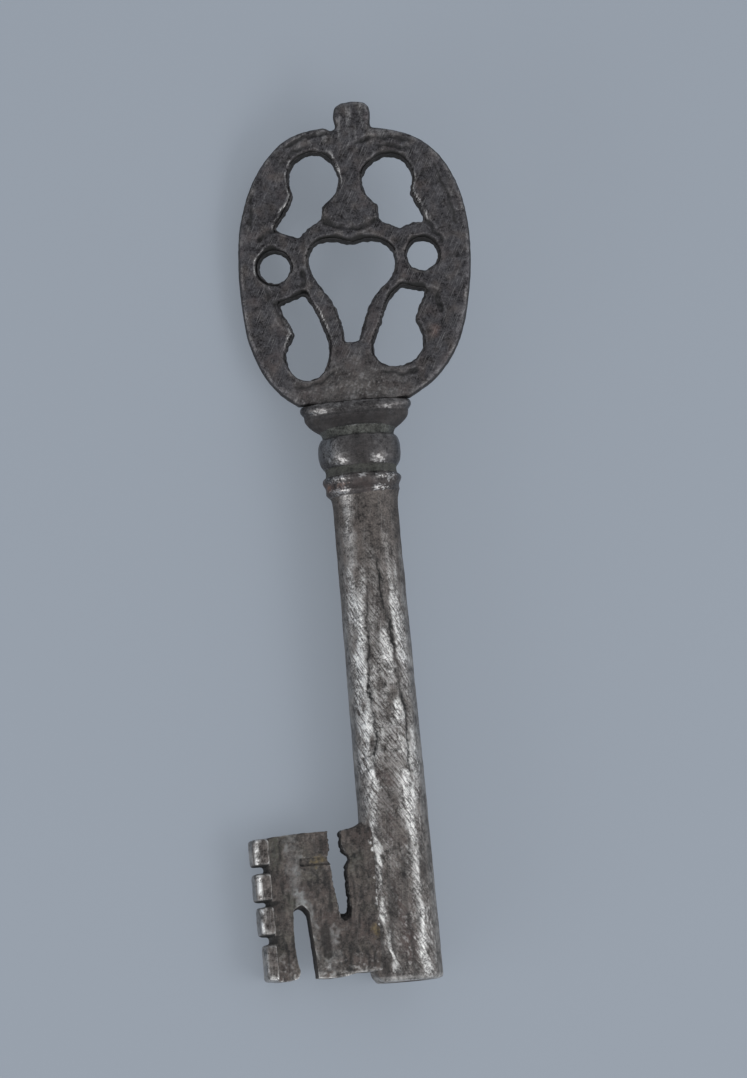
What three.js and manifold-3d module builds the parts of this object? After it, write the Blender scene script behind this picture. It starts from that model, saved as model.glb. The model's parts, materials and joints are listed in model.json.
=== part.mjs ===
// Antique wrought iron pipe key, lying on its back as on a table. Millimetres, +Z up.
// It is drawn in the key's own frame: x across, y up the shank from the tip, z out of its front face.
// The last section rolls and tilts it until knop, tip and bow all touch the ground.
import * as THREE from 'three';
import { mergeVertices } from 'three/addons/utils/BufferGeometryUtils.js';
import Module from 'manifold-3d';

const wasm = await Module();
wasm.setup();

// Driving dimensions
const bowThickness = 4.0;
const bowRimRound = 1.0;
const openingRound = 0.7;
const edgeDepth = 1.2;
const bowFootY = 97.9;
const eyeRadius = 2.55;
const grooveHalfWidth = 0.36;
const mouldingShift = -0.2;
const tangRadius = 3.1;
const tangEndY = 58;
const boreRadius = 3.4;
const boreChamfer = 0.3;
const ringBoreRadius = 3.2;
const collarRadius = 9.4;
const knopRadius = 7.05;
const knopY = 89.4;
const ringRadius = 6.7;
const shankTopY = 82.7;
const shankTopRadius = 5.6;
const tipRadius = 6.2;
const tipEndY = -0.7;
const tipRound = 0.8;
const cornerSlant = THREE.MathUtils.degToRad(40.6);
const bitTurn = THREE.MathUtils.degToRad(12);
const bitTopY = 25.5;
const bitFootY = 1.3;
const webThickness = 3.6;
const webEdgeX = -22.9;
const toothThickness = 6.0;
const toothInner = 22.2;
const toothRound = 1.4;
const toothEndRound = 0.6;
const rootRadius = 3.6;
const filletReach = 2.2;
const crossWard = { fromX: -17, toX: -7.9, bottom: 19.9, top: 21.2, depth: 0.4 };
const jointGap = 0.1;
const turnedSides = 40;

// A closed mesh with shared vertices, as a solid that can be cut and joined
function solid(geometry) {
  geometry.deleteAttribute('normal');
  geometry.deleteAttribute('uv');
  const merged = mergeVertices(geometry, 1e-4);
  return new wasm.Manifold(new wasm.Mesh({
    numProp: 3,
    vertProperties: Float32Array.from(merged.attributes.position.array),
    triVerts: Uint32Array.from(merged.index.array),
  }));
}

function geometryOf(body) {
  const mesh = body.getMesh();
  const geometry = new THREE.BufferGeometry();
  geometry.setAttribute('position', new THREE.BufferAttribute(mesh.vertProperties, 3));
  geometry.setIndex(new THREE.BufferAttribute(mesh.triVerts, 1));
  geometry.computeVertexNormals();
  return geometry;
}

// A closed outline made of smooth runs that meet at corners; each run starts where the last one ended.
// Its points can be moved outwards, or inwards where the amount is negative, to round an edge.
function outline(runs, amount = 0) {
  const points = runs.flatMap((run) => run.slice(0, -1).map(([x, y]) => new THREE.Vector2(x, y)));
  const sense = THREE.ShapeUtils.isClockWise(points) ? -1 : 1;
  const moved = points.map((point, i) => {
    const back = points.at(i - 1).clone().sub(point).normalize();
    const ahead = points[(i + 1) % points.length].clone().sub(point).normalize();
    const along = ahead.clone().sub(back).normalize();
    const lean = Math.max(Math.abs(ahead.dot(along)), 0.6);
    return new THREE.Vector2(along.y, -along.x).multiplyScalar(sense * amount / lean).add(point);
  });
  const path = new THREE.Path().moveTo(moved[0].x, moved[0].y);
  let next = 1;
  for (const run of runs) {
    const ahead = run.slice(1).map((_, k) => moved[(next + k) % moved.length]);
    if (ahead.length === 1) path.lineTo(ahead[0].x, ahead[0].y);
    else path.splineThru(ahead);
    next += run.length - 1;
  }
  return path;
}

// A circle in quarters, so that a few divisions still draw it round
function circle(x, y, radius) {
  const path = new THREE.Path();
  for (let quarter = 0; quarter < 4; quarter += 1) {
    path.absarc(x, y, radius, (quarter * Math.PI) / 2, ((quarter + 1) * Math.PI) / 2);
  }
  return path;
}

// One closed plate through several layers, each with an outer loop and the same number of openings
function layeredPlate(layers, segments) {
  const positions = [];
  const triangles = [];
  layers.forEach(({ z, edge, openings }, level) => {
    const loops = [edge, ...openings].map((path, i) => {
      const points = path.getPoints(segments).slice(0, -1);
      return THREE.ShapeUtils.isClockWise(points) === (i > 0) ? points : points.reverse();
    });
    const count = loops.reduce((sum, loop) => sum + loop.length, 0);
    const faces = THREE.ShapeUtils.triangulateShape(loops[0], loops.slice(1));
    for (const loop of loops) for (const { x, y } of loop) positions.push(x, y, z);
    const base = level * count;
    if (level === 0) for (const [a, b, c] of faces) triangles.push(c, b, a);
    if (level === layers.length - 1) for (const face of faces) triangles.push(...face.map((v) => base + v));
    if (level === 0) return;
    let first = base;
    for (const loop of loops) {
      for (let i = 0; i < loop.length; i += 1) {
        const [a, b] = [first + i, first + ((i + 1) % loop.length)];
        triangles.push(a - count, b - count, b, a - count, b, a);
      }
      first += loop.length;
    }
  });
  const geometry = new THREE.BufferGeometry();
  geometry.setAttribute('position', new THREE.Float32BufferAttribute(positions, 3));
  geometry.setIndex(triangles);
  return geometry;
}

// A turned piece about the shank's axis: [radius, y] pairs from the top down, round a bore.
// Where a mouth is given, the bore is chamfered by it at the lower end.
function turned(profile, bore, mouth = 0) {
  const points = [...profile].reverse().map(([r, y]) => new THREE.Vector2(r, y));
  const [bottom, top] = [points[0].y, points.at(-1).y];
  if (mouth > 0) points.unshift(new THREE.Vector2(bore + mouth, bottom));
  const start = new THREE.Vector2(bore, bottom + mouth);
  return new THREE.LatheGeometry([start, ...points, new THREE.Vector2(bore, top), start], turnedSides);
}

// The mouldings sit a little to the left of the pipe's axis, as on the key itself
function moulding(profile) {
  return turned(profile, ringBoreRadius).translate(mouldingShift, 0, 0);
}

function cylinderAlongShank(radius, fromY, toY) {
  const geometry = new THREE.CylinderGeometry(radius, radius, toY - fromY, turnedSides);
  return geometry.translate(0, (fromY + toY) / 2, 0);
}

// Bow: a pierced oval plate with a peg on top, a swelling at its foot and a tang down into the pipe
const bowOuterEdge = [
  [[6.7, 145.3], [6.85, 147.6], [6.65, 148.9], [5.8, 149.7]],
  [[5.8, 149.7], [3.9, 150.0], [1.9, 149.85]],
  [[1.9, 149.85], [0.7, 149.1], [0.25, 147.4], [0.5, 145.6]],
  [[0.5, 145.6], [-0.15, 145.2], [-0.7, 145.5], [-1.5, 145.85]],
  [[-1.5, 145.85], [-5.3, 145.4], [-8.8, 143.9], [-11.8, 141.2], [-14.4, 137.5], [-16.4, 133.0],
    [-17.7, 127.7], [-18.2, 121.5], [-18.1, 115.0], [-17.4, 109.5], [-15.6, 104.3], [-12.9, 100.4],
    [-9.8, bowFootY]],
  [[-9.8, bowFootY], [9.2, bowFootY]],
  [[9.2, bowFootY], [13.5, 100.5], [17.0, 104.2], [19.3, 108.6], [20.9, 114.4], [21.8, 120.4],
    [22.0, 126.5], [21.1, 132.6], [19.1, 137.8], [16.0, 141.6], [12.6, 143.7], [9.1, 144.8], [6.7, 145.3]],
];
const upperLeftOpening = [
  [[-2.9, 132.3], [-1.4, 133.3], [-0.2, 134.9], [0.2, 136.7], [-0.35, 138.8], [-1.7, 140.5],
    [-3.6, 141.2], [-5.6, 140.8], [-7.2, 139.6], [-7.9, 137.8], [-7.9, 136.0], [-7.5, 134.4]],
  [[-7.5, 134.4], [-8.1, 132.9], [-9.4, 131.0], [-10.8, 129.3]],
  [[-10.8, 129.3], [-10.7, 128.6], [-9.1, 127.8], [-7.3, 127.1]],
  [[-7.3, 127.1], [-5.8, 128.5], [-3.3, 129.9]],
  [[-3.3, 129.9], [-2.9, 132.3]],
];
const upperRightOpening = [
  [[6.8, 131.7], [6.7, 129.1]],
  [[6.7, 129.1], [8.3, 128.2], [10.1, 127.3]],
  [[10.1, 127.3], [11.7, 128.0], [14.2, 128.2]],
  [[14.2, 128.2], [13.9, 129.7], [12.9, 131.6], [12.3, 133.2]],
  [[12.3, 133.2], [12.5, 134.3], [12.9, 135.5]],
  [[12.9, 135.5], [12.6, 137.2], [11.5, 138.9], [9.7, 139.8], [7.6, 139.6], [5.7, 138.4],
    [4.6, 136.6], [4.6, 134.6], [5.5, 132.9], [6.8, 131.7]],
];
const heartOpening = [
  [[1.8, 125.1], [3.9, 125.45], [5.9, 125.3], [7.8, 124.1], [8.7, 121.9], [8.0, 119.3],
    [5.9, 117.2], [4.0, 115.0], [2.7, 112.3], [1.4, 108.6]],
  [[1.4, 108.6], [0.1, 108.4], [-0.9, 108.6]],
  [[-0.9, 108.6], [-1.0, 110.6], [-1.8, 114.2], [-3.8, 117.8], [-5.4, 120.5], [-5.8, 123.4],
    [-4.3, 125.6], [-1.5, 126.0], [0.3, 125.5], [1.8, 125.1]],
];
const lowerLeftOpening = [
  [[-11.5, 115.6], [-10.6, 113.4], [-9.8, 111.7], [-9.3, 110.3]],
  [[-9.3, 110.3], [-10.3, 108.8], [-11.1, 107.0], [-10.8, 104.9], [-9.7, 103.2], [-7.9, 102.4],
    [-5.8, 103.1], [-4.3, 105.2], [-3.9, 108.2], [-4.6, 111.2], [-5.6, 113.9], [-7.1, 117.0]],
  [[-7.1, 117.0], [-9.3, 116.4], [-11.5, 115.6]],
];
const lowerRightOpening = [
  [[9.6, 117.1], [7.9, 115.7], [6.6, 113.7], [5.9, 112.0], [5.35, 110.5], [4.4, 108.8], [3.95, 107.1],
    [4.2, 105.4], [5.6, 104.1], [7.8, 103.7], [10.1, 104.3], [11.8, 105.8], [12.2, 107.7],
    [11.9, 109.6], [11.2, 111.3]],
  [[11.2, 111.3], [12.0, 113.3], [13.4, 116.1]],
  [[13.4, 116.1], [11.5, 116.5], [9.6, 117.1]],
];
// Each eye is filed wider on the face, more on its outer side than on its inner one
const eyes = [
  { x: -11.8, y: 122.2, lean: -0.35 },
  { x: 13.5, y: 122.3, lean: 0.3 },
];
// Lines chased into the faces, along the bands that the openings leave
const chasedLines = [
  [[-0.6, 144.9], [-2.6, 144.6], [-5.4, 144.1], [-7.9, 142.9]],
  [[4.6, 142.7], [6.8, 143.4], [9.4, 143.2], [13.0, 142.1]],
  [[9.0, 141.7], [10.2, 141.5], [11.5, 140.9]],
  [[-3.4, 130.1], [-1.7, 128.9], [0.6, 128.1], [2.9, 127.7], [5.0, 128.4], [6.9, 129.2]],
  [[14.0, 128.3], [15.7, 127.0], [17.0, 124.1]],
  [[-10.8, 128.7], [-12.6, 128.4], [-14.2, 127.0]],
  [[-11.4, 115.4], [-12.6, 116.6], [-13.4, 118.7]],
  [[13.3, 116.1], [15.1, 115.5], [15.8, 112.0]],
  [[-7.2, 121.3], [-7.2, 117.4]],
  [[-10.0, 101.3], [-8.2, 101.1], [-5.3, 101.9], [-3.1, 103.6]],
  [[5.2, 102.9], [8.0, 102.0], [10.8, 102.4]],
];

// The edges are rounded from the faces to the middle of the plate, like a filed band
function bowPlate() {
  const openings = [upperLeftOpening, upperRightOpening, heartOpening, lowerLeftOpening, lowerRightOpening];
  const layer = (angle, side) => {
    const z = side * (bowThickness / 2 - edgeDepth * (1 - Math.cos(angle)));
    const share = 1 - Math.sin(angle);
    const grow = openingRound * share;
    return {
      z,
      edge: outline(bowOuterEdge, -bowRimRound * share),
      openings: [
        ...openings.map((runs) => outline(runs, grow)),
        ...eyes.map(({ x, y, lean }) => circle(x + lean * share, y, eyeRadius + grow)),
      ],
    };
  };
  const angles = [0, Math.PI / 4, Math.PI / 2];
  const back = angles.map((angle) => layer(angle, -1));
  const front = [...angles].reverse().map((angle) => layer(angle, 1));
  return layeredPlate([...back, ...front], 3);
}

// A square bar bent along a line of the face, its corner downwards, to cut a V-shaped groove
function chasingTool(line, side) {
  const points = line.map(([x, y]) => new THREE.Vector3(x, y, (side * bowThickness) / 2));
  const section = new THREE.Shape();
  section.moveTo(grooveHalfWidth, 0);
  section.lineTo(0, grooveHalfWidth);
  section.lineTo(-grooveHalfWidth, 0);
  section.lineTo(0, -grooveHalfWidth);
  return solid(new THREE.ExtrudeGeometry(section, {
    steps: 2 * (line.length - 1),
    bevelEnabled: false,
    extrudePath: new THREE.CatmullRomCurve3(points),
  }));
}

function bowFootSwelling() {
  const swelling = new THREE.SphereGeometry(1, 24, 14).scale(8.0, 7.0, 3.4);
  const above = new THREE.BoxGeometry(30, 20, 20).translate(0, bowFootY + 10, 0);
  return solid(swelling.translate(0, bowFootY, 0)).intersect(solid(above));
}

function bow() {
  const tang = cylinderAlongShank(tangRadius, tangEndY, bowFootY + 2).translate(mouldingShift, 0, 0);
  let body = solid(bowPlate()).add(bowFootSwelling()).add(solid(tang));
  for (const line of chasedLines) {
    body = body.subtract(chasingTool(line, 1)).subtract(chasingTool(line, -1));
  }
  return geometryOf(body);
}

// Collar and mouldings, threaded on the tang and brazed. The collar is oval: each row gives its half
// width, its height up the shank and its half depth, which grows to meet the round neck.
const collarProfile = [
  [9.1, bowFootY - jointGap, 4.7], [collarRadius, 97.1, 5.0], [9.25, 96.5, 4.95], [8.95, 96.1, 4.7],
  [8.85, 95.6, 4.75], [8.6, 95.1, 5.0], [8.0, 94.3, 5.45], [7.2, 93.6, 5.85], [6.45, 93.1, 6.15],
];
const neckBrazeProfile = [[6.35, 93.0], [6.15, 92.7], [6.1, 92.3], [6.25, 92.0]];
const knopProfile = [
  [6.3, 91.9], [6.75, 91.5], [7.0, 90.6], [knopRadius, knopY], [7.0, 88.4], [6.8, 87.4],
  [6.5, 86.8], [6.3, 86.5],
];
const knopBrazeProfile = [[6.15, 86.4], [6.05, 85.9], [6.1, 85.5]];
const ringProfile = [
  [6.1, 85.4], [6.45, 85.0], [ringRadius, 84.5], [ringRadius, 83.8], [6.45, 83.1], [6.15, 82.8],
];

function collar() {
  const geometry = moulding(collarProfile);
  const position = geometry.attributes.position;
  for (let i = 0; i < position.count; i += 1) {
    const y = position.getY(i);
    const row = collarProfile.find((entry) => Math.abs(entry[1] - y) < 1e-4);
    const outside = Math.hypot(position.getX(i) - mouldingShift, position.getZ(i)) > ringBoreRadius + 0.1;
    if (outside) position.setZ(i, (position.getZ(i) * row[2]) / row[0]);
  }
  geometry.computeVertexNormals();
  return geometry;
}

// Pipe: tapering tube, stepped under the ring, rounded at the tip, slotted for the root of the bit and
// filed away slantwise below it
function shankPipe() {
  const profile = [
    [6.0, shankTopY], [5.95, 82.2], [5.7, 81.1], [shankTopRadius, 79.6], [5.7, 64], [5.85, 47],
    [6.0, 30], [6.1, 13.4], [tipRadius, tipEndY + tipRound],
  ];
  for (const angle of [Math.PI / 4, Math.PI / 2]) {
    const r = tipRadius - tipRound * (1 - Math.cos(angle));
    profile.push([r, tipEndY + tipRound * (1 - Math.sin(angle))]);
  }
  const slot = new THREE.BoxGeometry(6, bitTopY - bitFootY + 2 * jointGap, webThickness + 2 * jointGap);
  slot.translate(-5, (bitTopY + bitFootY) / 2, 0).rotateY(bitTurn);
  const corner = new THREE.BoxGeometry(4, 4, 3 * tipRadius).rotateZ(cornerSlant);
  corner.translate(-7, -1, 0).rotateY(bitTurn);
  const pipe = solid(turned(profile, boreRadius, boreChamfer));
  return geometryOf(pipe.subtract(solid(slot)).subtract(solid(corner)));
}

// Bit: warded web with its root in the slot, and four stout teeth on the outer edge.
// The two slots were sawn from the ends, and reach a little further on the front face than on the back.
const slotEnds = {
  front: { lowerTop: 13.4, upperFoot: 10.4 },
  back: { lowerTop: 12.75, upperFoot: 11.9 },
};

function webEdge({ lowerTop, upperFoot }) {
  return [
    [[-rootRadius, bitTopY], [-rootRadius, bitFootY]],
    [[-rootRadius, bitFootY], [-6.3, bitFootY]],
    [[-6.3, bitFootY], [-7.4, 1.45], [-8.6, 1.35], [-9.8, 1.1], [-11.0, 0.9], [-13.4, 0.8], [-15.5, 0.9]],
    [[-15.5, 0.9], [-15.7, 5.0], [-16.0, 9.2], [-16.2, lowerTop - 1.2]],
    [[-16.2, lowerTop - 1.2], [-17.3, lowerTop], [-18.7, lowerTop - 0.8]],
    [[-18.7, lowerTop - 0.8], [-18.9, 9.0], [-18.9, 6.0], [-18.6, 3.4]],
    [[-18.6, 3.4], [-18.3, 2.2], [-18.9, 1.1]],
    [[-18.9, 1.1], [-20.6, 0.8], [webEdgeX, 0.9]],
    [[webEdgeX, 0.9], [webEdgeX, 25.0]],
    [[webEdgeX, 25.0], [-19.6, 25.35], [-15.5, 25.55], [-11.8, 25.5]],
    [[-11.8, 25.5], [-11.7, 22.4]],
    [[-11.7, 22.4], [-12.2, 21.0], [-11.7, 19.9]],
    [[-11.7, 19.9], [-11.6, 16.6], [-11.2, 14.4], [-10.9, upperFoot + 1.3]],
    [[-10.9, upperFoot + 1.3], [-10.5, upperFoot], [-9.3, upperFoot], [-9.0, upperFoot + 1.4]],
    [[-9.0, upperFoot + 1.4], [-9.1, 19.4]],
    [[-9.1, 19.4], [-8.4, 20.6], [-9.1, 21.6]],
    [[-9.1, 21.6], [-9.6, 22.4], [-9.7, bitTopY]],
    [[-9.7, bitTopY], [-8.5, 25.62], [-7.3, 26.1], [-6.6, 26.9], [-6.3, 27.8]],
    [[-6.3, 27.8], [-6.25, bitTopY]],
    [[-6.25, bitTopY], [-rootRadius, bitTopY]],
  ];
}

// The teeth from the top down, the lower ones worn shorter
const teeth = [
  { bottom: 20.3, top: 25.05, outer: 25.1 },
  { bottom: 14.4, top: 19.3, outer: 25.0 },
  { bottom: 8.6, top: 13.7, outer: 24.7 },
  { bottom: 1.0, top: 7.4, outer: 24.25 },
];

// A block with rounded corners, rounded a little at both ends too
function tooth({ bottom, top, outer }) {
  const half = toothThickness / 2 - toothEndRound;
  const [inside, outside] = [toothInner + toothEndRound, outer - toothEndRound];
  const round = toothRound - toothEndRound;
  const section = new THREE.Shape();
  section.moveTo(-inside, -half);
  section.lineTo(-inside, half);
  section.lineTo(-outside + round, half);
  section.absarc(-outside + round, half - round, round, Math.PI / 2, Math.PI);
  section.absarc(-outside + round, -half + round, round, Math.PI, 1.5 * Math.PI);
  const geometry = new THREE.ExtrudeGeometry(section, {
    depth: top - bottom - 2 * toothEndRound,
    curveSegments: 3,
    bevelThickness: toothEndRound,
    bevelSize: toothEndRound,
    bevelSegments: 2,
  });
  geometry.translate(0, 0, toothEndRound).rotateX(-Math.PI / 2).translate(0, bottom, 0);
  return solid(geometry);
}

// The shallow channel filed across both faces of the web
function crossWardCuts() {
  const { fromX, toX, bottom, top, depth } = crossWard;
  return [-1, 1].map((side) => {
    const cut = new THREE.BoxGeometry(toX - fromX, top - bottom, 2 * depth);
    return solid(cut.translate((fromX + toX) / 2, (bottom + top) / 2, (side * webThickness) / 2));
  });
}

function bit() {
  const faces = [slotEnds.back, slotEnds.front].map((ends, level) => ({
    z: (level - 0.5) * webThickness,
    edge: outline(webEdge(ends)),
    openings: [],
  }));
  let body = solid(layeredPlate(faces, 2));
  for (const block of teeth) body = body.add(tooth(block));
  for (const cut of crossWardCuts()) body = body.subtract(cut);
  return geometryOf(body).rotateY(bitTurn);
}

// The brazed fillet along one side of the root, as brown as the web: a concave wedge between pipe and web
function bitBraze(side) {
  const seatRadius = tipRadius + jointGap;
  const face = webThickness / 2 + jointGap;
  const seatTop = filletReach + face;
  const section = new THREE.Shape();
  const low = Math.asin(face / seatRadius);
  const high = Math.asin(seatTop / seatRadius);
  section.moveTo(-seatRadius * Math.cos(low), face);
  section.lineTo(-seatRadius * Math.cos(low) - filletReach, face);
  section.quadraticCurveTo(-seatRadius, face + 0.5, -seatRadius * Math.cos(high), seatTop);
  section.absarc(0, 0, seatRadius, Math.PI - high, Math.PI - low);
  const geometry = new THREE.ExtrudeGeometry(section, {
    depth: bitTopY - bitFootY,
    curveSegments: 4,
    bevelEnabled: false,
  });
  const body = solid(geometry.rotateX(-Math.PI / 2).translate(0, bitFootY, 0));
  const seated = side > 0 ? body.mirror([0, 0, 1]) : body;
  return geometryOf(seated).rotateY(bitTurn);
}

// Finishes
const darkIron = { color: 0x46464a, roughness: 0.55, metalness: 0.9 };
const brightIron = { color: 0x77757a, roughness: 0.4, metalness: 1.0 };
const brownIron = { color: 0x5a4f47, roughness: 0.6, metalness: 0.8 };
const spelter = { color: 0x6f6d58, roughness: 0.5, metalness: 0.9 };

function piece(name, geometry, finish) {
  const mesh = new THREE.Mesh(geometry, new THREE.MeshStandardMaterial(finish));
  mesh.name = name;
  return mesh;
}

const bowGeometry = bow();
const key = new THREE.Group();
key.add(
  piece('bow', bowGeometry, darkIron),
  piece('bow_collar', collar(), darkIron),
  piece('neck_braze', moulding(neckBrazeProfile), spelter),
  piece('knop', moulding(knopProfile), brownIron),
  piece('knop_braze', moulding(knopBrazeProfile), spelter),
  piece('shank_ring', moulding(ringProfile), brightIron),
  piece('shank_pipe', shankPipe(), brightIron),
  piece('bit', bit(), brownIron),
  piece('bit_braze_front', bitBraze(1), brownIron),
  piece('bit_braze_back', bitBraze(-1), brownIron),
);

// At rest the key lies on the knop and the tip, rolled until the left edge of the bow touches
const tilt = Math.atan2(knopRadius - tipRadius, knopY - (tipEndY + tipRound));
const axisHeight = tipRadius / Math.cos(tilt);

function bowClearance(roll) {
  const turn = new THREE.Matrix4().makeRotationFromEuler(new THREE.Euler(tilt, roll, 0));
  return axisHeight + new THREE.Box3().setFromBufferAttribute(
    bowGeometry.clone().applyMatrix4(turn).attributes.position,
  ).min.z;
}

let [level, rolled] = [0, -Math.PI / 6];
for (let step = 0; step < 24; step += 1) {
  const middle = (level + rolled) / 2;
  if (bowClearance(middle) > 0) level = middle;
  else rolled = middle;
}
key.rotation.set(tilt, level, 0);
const box = new THREE.Box3().setFromObject(key, true);
key.position.set(-(box.min.x + box.max.x) / 2, -(box.min.y + box.max.y) / 2, -box.min.z);

const object = new THREE.Group();
object.add(key);
export default object;
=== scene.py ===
# %% [markdown]
# An antique wrought iron key: a pierced oval bow, a moulded collar, a hollow shank and a warded bit.
# The solids come packed and fixed in place. This lesson dresses them as forged, filed and handled iron.
# Everything is in metres, and small sizes are written in millimetres times MM.

# %% Load the fixed frame
import json
import math

import bmesh
import bpy
import numpy as np
from mathutils import Matrix, Vector, kdtree, noise


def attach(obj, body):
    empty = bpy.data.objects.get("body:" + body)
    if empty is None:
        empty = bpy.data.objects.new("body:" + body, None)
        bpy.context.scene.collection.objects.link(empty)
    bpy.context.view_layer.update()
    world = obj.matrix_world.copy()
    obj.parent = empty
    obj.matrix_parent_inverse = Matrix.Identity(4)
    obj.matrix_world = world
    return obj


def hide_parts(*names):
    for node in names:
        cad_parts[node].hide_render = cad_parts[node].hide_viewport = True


MM = 0.001
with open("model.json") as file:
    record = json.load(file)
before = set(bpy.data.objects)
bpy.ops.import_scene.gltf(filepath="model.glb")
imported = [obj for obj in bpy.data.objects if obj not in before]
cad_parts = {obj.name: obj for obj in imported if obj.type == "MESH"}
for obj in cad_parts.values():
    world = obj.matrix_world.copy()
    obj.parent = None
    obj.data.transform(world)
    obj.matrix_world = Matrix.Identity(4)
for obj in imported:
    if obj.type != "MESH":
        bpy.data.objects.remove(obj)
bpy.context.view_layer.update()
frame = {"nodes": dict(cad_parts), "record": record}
nodes = frame["nodes"]
print("solids:", ", ".join(sorted(nodes)))

# %% [markdown]
# The key lies on its back on the knop and the tip, rolled over until the edge of the bow touches the
# table. It is far easier to work in the key's own directions: across, up the shank, and out of the
# front face, measured in millimetres from the middle of the tip. The record's mounts give them, because
# the pipe's mouth faces away from the bow and the bow's front faces out.

# %% The key's own axes
MOUTH_POINT = Vector((0, -0.7, 4.5))
mounts = {mount["name"]: mount for mount in frame["record"]["mounts"]}
out_axis = Vector(mounts["bow_front"]["axis"]).normalized()
up_axis = -Vector(mounts["pipe_mouth"]["axis"]).normalized()
across_axis = up_axis.cross(out_axis)
KEY = Matrix((across_axis, up_axis, out_axis)).transposed().to_4x4()
KEY.translation = Vector(mounts["pipe_mouth"]["pos_m"]) - KEY.to_3x3() @ (MOUTH_POINT * MM)
PLACE = KEY @ Matrix.Scale(MM, 4)
print("tip of the shank at", tuple(round(c, 4) for c in KEY.translation))

# %% [markdown]
# The photograph was taken with a long lens from nearly straight in front, a little towards the tip.
# The camera is placed in the key's own directions and then carried over to the frame.

# %% Camera at the photograph's angle
SENSOR_MM = 36
IMAGE_HIGH_PX = 1078
LENS_PX = 4800
AIM = Vector((0.88, 74.41, 0)) * MM
DISTANCE = 815.8 * MM
BELOW = math.radians(6.4)
ASIDE = math.radians(0.5)
LEAN = math.radians(5.108)

look = Vector((math.sin(ASIDE) * math.cos(BELOW), math.sin(BELOW), -math.cos(ASIDE) * math.cos(BELOW)))
level_up = (Vector((0, 1, 0)) - look * look.y).normalized()
level_right = look.cross(level_up)
view_up = level_up * math.cos(LEAN) + level_right * math.sin(LEAN)
view_right = level_right * math.cos(LEAN) - level_up * math.sin(LEAN)
turn = KEY.to_3x3() @ Matrix((view_right, view_up, -look)).transposed()

lens = bpy.data.cameras.new("camera")
lens.sensor_width = SENSOR_MM
lens.lens = LENS_PX * lens.sensor_width / IMAGE_HIGH_PX
lens.clip_start = 0.01
camera = bpy.data.objects.new("camera", lens)
camera.matrix_world = Matrix.Translation(KEY @ (AIM - look * DISTANCE)) @ turn.to_4x4()
bpy.context.scene.collection.objects.link(camera)
bpy.context.scene.camera = camera
print("camera at", tuple(round(c, 3) for c in camera.location))

# %% [markdown]
# Colours are read off as sRGB hex values, and the shader works in linear light, so one function turns
# the first into the second. Another adds a shader node with its settings and links in one call, and
# gives back the output that the next node needs.

# %% Colour and node helpers
def linear(hex_colour):
    values = [int(hex_colour[i:i + 2], 16) / 255 for i in (1, 3, 5)]
    return tuple(v / 12.92 if v <= 0.04045 else ((v + 0.055) / 1.055) ** 2.4 for v in values) + (1.0,)


def add(tree, kind, inputs=(), out=0, **settings):
    node = tree.nodes.new("ShaderNode" + kind)
    for name, value in settings.items():
        setattr(node, name, value)
    for socket, value in dict(inputs).items():
        if isinstance(value, bpy.types.NodeSocket):
            tree.links.new(value, node.inputs[socket])
        else:
            node.inputs[socket].default_value = value
    return node.outputs[out]


print("mid grey is", round(linear("#808080")[0], 3), "in linear light")

# %% [markdown]
# Polished iron shows what it reflects, so the key lies in a tent of white cloth that is open where the
# lens looks in. The flat bow reflects that darker opening, and edges and round flanks reflect the bright
# sides. The world is the tent, and glows more strongly away from the opening.

# %% World
TENT = "#D9DDE3"
OPENING_STRENGTH = 0.50
SIDE_STRENGTH = 1.25
SIDE_FROM = 0.35

scene = bpy.context.scene
scene.view_settings.view_transform = "Standard"
world = bpy.data.worlds.new("white_tent")
scene.world = world
world.use_nodes = True
sky = world.node_tree
ahead = add(sky, "TexCoord", out="Generated")
facing = add(sky, "VectorMath", {0: ahead, 1: out_axis}, "Value", operation="DOT_PRODUCT")
strength = add(sky, "MapRange", {"Value": facing, "From Min": 1.0, "From Max": SIDE_FROM,
               "To Min": OPENING_STRENGTH, "To Max": SIDE_STRENGTH})
sky.nodes["Background"].inputs["Color"].default_value = linear(TENT)
sky.links.new(strength, sky.nodes["Background"].inputs["Strength"])
print("the tent is", SIDE_STRENGTH / OPENING_STRENGTH, "times as bright at its sides")

# %% [markdown]
# The table is a plain blue-grey card. Half of its colour comes from its own glow, for the camera and for
# reflections, which keeps the key's shadow soft and pale.

# %% Table
CARD = "#9AA2AC"
CARD_ROUGHNESS = 0.9
TABLE_HALF_SIZE = 1.5
GLOW_SHARE = 0.5


def object_of(shape, name):
    mesh = bpy.data.meshes.new(name)
    shape.to_mesh(mesh)
    shape.free()
    piece = bpy.data.objects.new(name, mesh)
    scene.collection.objects.link(piece)
    return piece


sheet = bmesh.new()
bmesh.ops.create_grid(sheet, x_segments=1, y_segments=1, size=TABLE_HALF_SIZE)
table = object_of(sheet, "table")

card = bpy.data.materials.new("pale_blue_grey_card")
card.use_nodes = True
board = card.node_tree
board_shader = board.nodes["Principled BSDF"]
board_shader.inputs["Base Color"].default_value = linear(CARD)
board_shader.inputs["Roughness"].default_value = CARD_ROUGHNESS
seen = add(board, "LightPath", out="Is Camera Ray")
for ray in ("Is Glossy Ray", "Is Transmission Ray"):
    seen = add(board, "Math", {0: seen, 1: add(board, "LightPath", out=ray)}, operation="ADD")
share = add(board, "Math", {0: seen, 1: GLOW_SHARE}, operation="MULTIPLY")
glow = add(board, "Emission", {"Color": linear(CARD), "Strength": 1.0})
both = add(board, "MixShader", {0: share, 1: board_shader.outputs["BSDF"], 2: glow})
board.links.new(both, board.nodes["Material Output"].inputs["Surface"])
table.data.materials.append(card)
print("table", 2 * TABLE_HALF_SIZE, "m square")

# %% [markdown]
# Two soft boxes stand low at left and right, towards the tip. They draw the two bright lines along the
# shank and light the lower half of the knop, with soft edges because they are large.

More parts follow.
